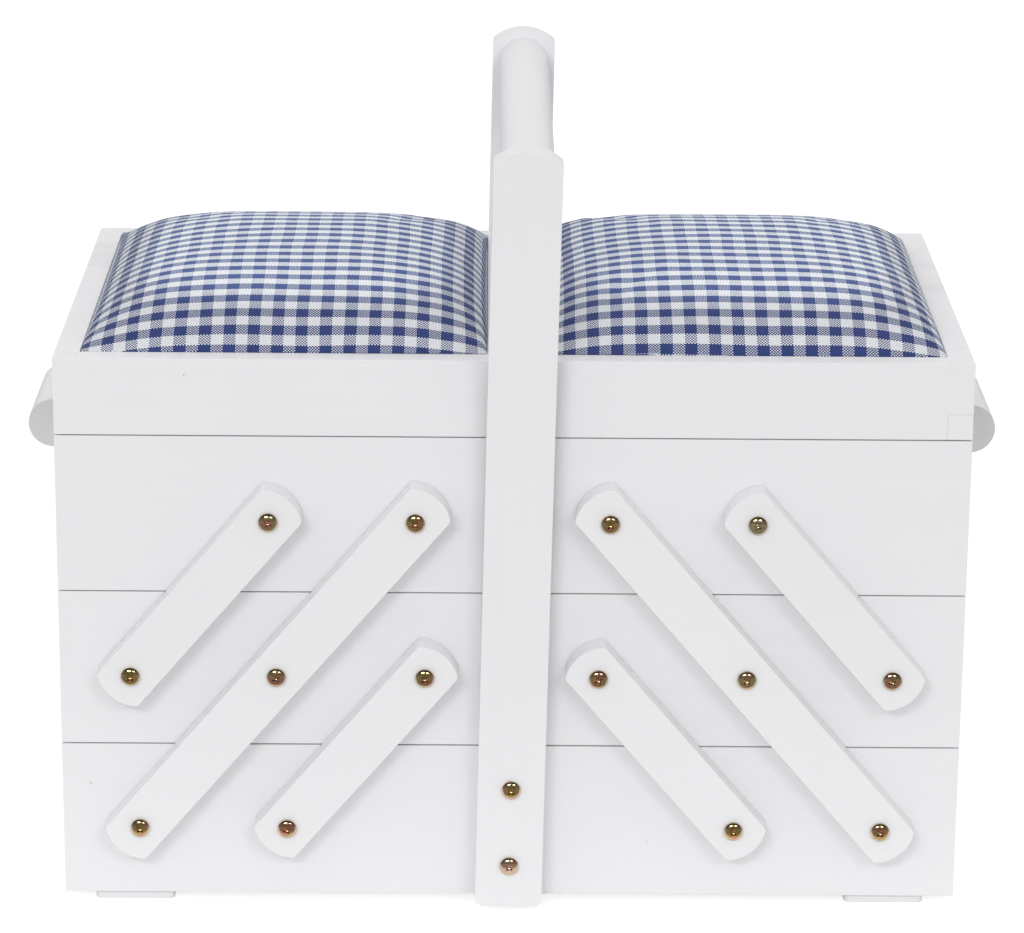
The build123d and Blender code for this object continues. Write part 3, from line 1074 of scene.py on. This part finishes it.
# Lit top colours and a shaded lower white: painted light that the height mask blends between.
lit_top_blue = (0.066, 0.112, 0.340)
shaded_lower_white = (0.70, 0.72, 0.75)
lit_top_white = (0.92, 0.955, 0.985)
shade_between_yarns = (0.05, 0.06, 0.09)
top_light_heights = (lid_top + 12 * MM, lid_top + 19 * MM)
sway_size = 42 * MM
sway_reach = 1.6 * MM
pull_size = 55 * MM
pull_reach = 3.2 * MM
warp_share = 0.205
less_warp_on_top = 0.05
more_when_blue = 0.16
yarn_gap_shade_from = 0.36
tint_size = 7 * MM
fibre_size = 0.15 * MM
yarn_depth = 0.1 * MM


def gingham(side, shift_across, shift_along):
    """Plain weave of blue and white yarn in even checks, read from the cloth's own map."""
    paint = Paint(f"{side}_gingham", Roughness=0.85, Sheen_Weight=0.12, Sheen_Roughness=0.4,
                  Sheen_Tint=(0.7, 0.88, 1.0, 1.0))
    flat = paint.node("ShaderNodeUVMap", {"uv_map": "cloth"})
    pull = paint.noise(flat, pull_size, 1.0) - 0.5
    sway = paint.noise(flat, sway_size, 1.0) - 0.5
    across, along, _ = flat.parts()
    warp = (across + sway * sway_reach + shift_across) / (check_across / threads)
    weft = (along + pull * pull_reach + shift_along) / (check_along / threads)
    warp_index, weft_index = warp.floor(), weft.floor()
    warp_is_blue = (warp_index / (2 * threads)).fraction().over(0.499)
    weft_is_blue = (weft_index / (2 * threads)).fraction().over(0.499)
    warp_off, weft_off = abs(warp.fraction() - 0.5), abs(weft.fraction() - 0.5)
    warp_lifted = ((warp_index + weft_index) / 2).fraction().over(0.25)
    # Painted highlight: higher on the cushion the yarn colours blend to lighter ones; lower down they
    # stay darker as painted shade.
    painted_top_light = paint.place().parts()[2].rise(*top_light_heights)
    warp_size = warp_share - painted_top_light * less_warp_on_top + warp_is_blue * (1 - painted_top_light) * more_when_blue
    warp_seen = warp_lifted * (warp_size - warp_off * warp_off - weft_off * weft_off).over(0)
    blue = warp_is_blue * warp_seen + weft_is_blue * (1 - warp_seen)
    # Painted shade: where the yarns part, the colour is blended to near black.
    yarn_gap_shade = warp_off.over(yarn_gap_shade_from) * weft_off.over(yarn_gap_shade_from)
    yarn = (1 - warp_off * 2) * (1 - weft_off * 2)
    tint = paint.noise(flat, tint_size, 2.0).rise(0.4, 0.6)
    fibre = paint.noise(flat, fibre_size, 1.0)
    white_yarn = paint.blend(painted_top_light, shaded_lower_white, lit_top_white)
    blue_yarn = paint.blend(painted_top_light, paint.blend(tint, yarn_blue, yarn_navy), lit_top_blue)
    colour = paint.blend(blue, white_yarn, blue_yarn)
    colour = paint.blend(yarn_gap_shade * 0.85, colour, shade_between_yarns)
    paint.feed("Base Color", colour)
    paint.feed("Roughness", 0.78 + fibre * 0.14)
    paint.bump(yarn + fibre * 0.3, yarn_depth, 0.7)
    return paint.material


print("gingham with", threads, "threads to a check of", round(check_across / MM, 2), "mm")

# %% [markdown]
# Both cushions are made in the same steps, each with its own shape and its own start of the checks.
# The glued rim is what lies at or below the frame's top; it stays where it is while the cloth
# swells. A point of the tucked rim takes the place in the cloth of the nearest point above it.

# %% Make the cushions
column_shifts = {"left": 0.4 * MM, "right": -0.45 * MM}
first_rows = {"left": 3.1 * MM, "right": 4.7 * MM}
held_below = lid_top + 0.4 * MM


def map_cloth(cover, flat):
    """Gives the cover its cloth map: each laid point its own place, a rim point its neighbour's."""
    top_count = len(flat)
    cloth_map = cover.data.uv_layers.new(name="cloth")
    own = np.array([v.co for v in cover.data.vertices])
    for loop in cover.data.loops:
        index = loop.vertex_index
        if index >= top_count:
            index = np.argmin(np.sum((own[:top_count, :2] - own[index, :2]) ** 2, 1))
        cloth_map.data[loop.index].uv = flat[index]


for side in ("left", "right"):
    cover, columns, rows = lay_cloth(side)
    close_below(cover, side)
    points = np.array([v.co for v in cover.data.vertices])
    held = np.where(points[:, 2] < held_below)[0]
    pushed = swell(cover, held, swell_cap)
    flat = measure_cloth(cover, columns, rows)
    cover.name = f"{side}_cushion_cover"
    map_cloth(cover, flat)
    only(cover)
    smooth = cover.modifiers.new("smooth", "SUBSURF")
    smooth.levels = smooth.render_levels = 1
    bpy.ops.object.modifier_apply(modifier="smooth")
    bpy.ops.object.shade_smooth_by_angle(angle=math.radians(50))
    front_run = -flat[columns // 2, 1]
    cover.data.materials.append(gingham(side, column_shifts[side], front_run - first_rows[side]))
    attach(cover, f"{side}_lid")
    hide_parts(f"{side}_lid_cushion")
    top = max(v.co.z for v in cover.data.vertices)
    print(side, "cushion:", len(cover.data.polygons), "faces, crown", round((top - lid_top) / MM, 2),
          "mm, pushed", round(pushed / MM, 2), "mm")
